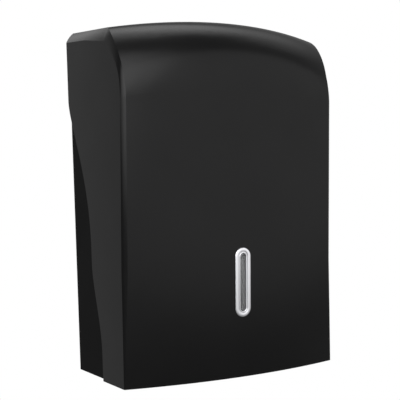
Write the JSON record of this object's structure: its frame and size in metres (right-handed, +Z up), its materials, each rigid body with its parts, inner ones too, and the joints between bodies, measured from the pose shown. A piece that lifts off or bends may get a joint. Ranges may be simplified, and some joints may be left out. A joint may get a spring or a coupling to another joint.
{
  "type": "folded towel dispenser",
  "caption": "Wall-mounted dispenser for folded paper towels: bowed hinged cover with an oval sight window, cam lock in the top and a towel slot in the floor.",
  "frame": {"origin": "middle of the four wall-screw holes, on the back face that meets the wall", "axes": "+X across the wall to the right as seen from the room, +Y into the wall, +Z up"},
  "size_m": [0.259, 0.1704, 0.3983],
  "materials": {
    "cover_black": "satin moulded ABS",
    "housing_black": "fine matt moulded ABS",
    "inner_black": "matt moulded ABS",
    "silver": "satin silver plated plastic",
    "clear_lens": "clear acrylic",
    "zinc_screws": "zinc plated",
    "steel": "plain steel",
    "lock_chrome": "chrome plated zinc",
    "lock_brass": "stamped brass"
  },
  "bodies": {
    "housing": {"back_housing": "housing_black", "paper_tray": "inner_black", "tray_screws": "zinc_screws", "paper_guide_left": "inner_black", "paper_guide_right": "inner_black", "guide_screws": "zinc_screws", "hinge_pin_left": "steel", "hinge_pin_right": "steel"},
    "cover": {"front_cover": "cover_black", "window_bezel": "silver", "window_lens": "clear_lens", "window_retainer": "inner_black", "window_screws": "zinc_screws", "lock_housing": "lock_chrome", "lock_washer": "zinc_screws", "lock_nut": "zinc_screws"},
    "lock": {"lock_plug": "lock_chrome", "lock_wafers": "lock_brass", "lock_cam": "steel", "cam_washer": "zinc_screws", "cam_screw": "zinc_screws"}
  },
  "joints": [
    {"name": "cover_hinge", "type": "hinge", "parent": "housing", "child": "cover", "pos_m": [0, -0.12087, -0.1835], "axis": [1, 0, 0], "range_deg": [0, 95]},
    {"name": "lock_turn", "type": "hinge", "parent": "cover", "child": "lock", "pos_m": [0, -0.032, 0.19], "axis": [0, 0, -1], "range_deg": [0, 90]}
  ]
}
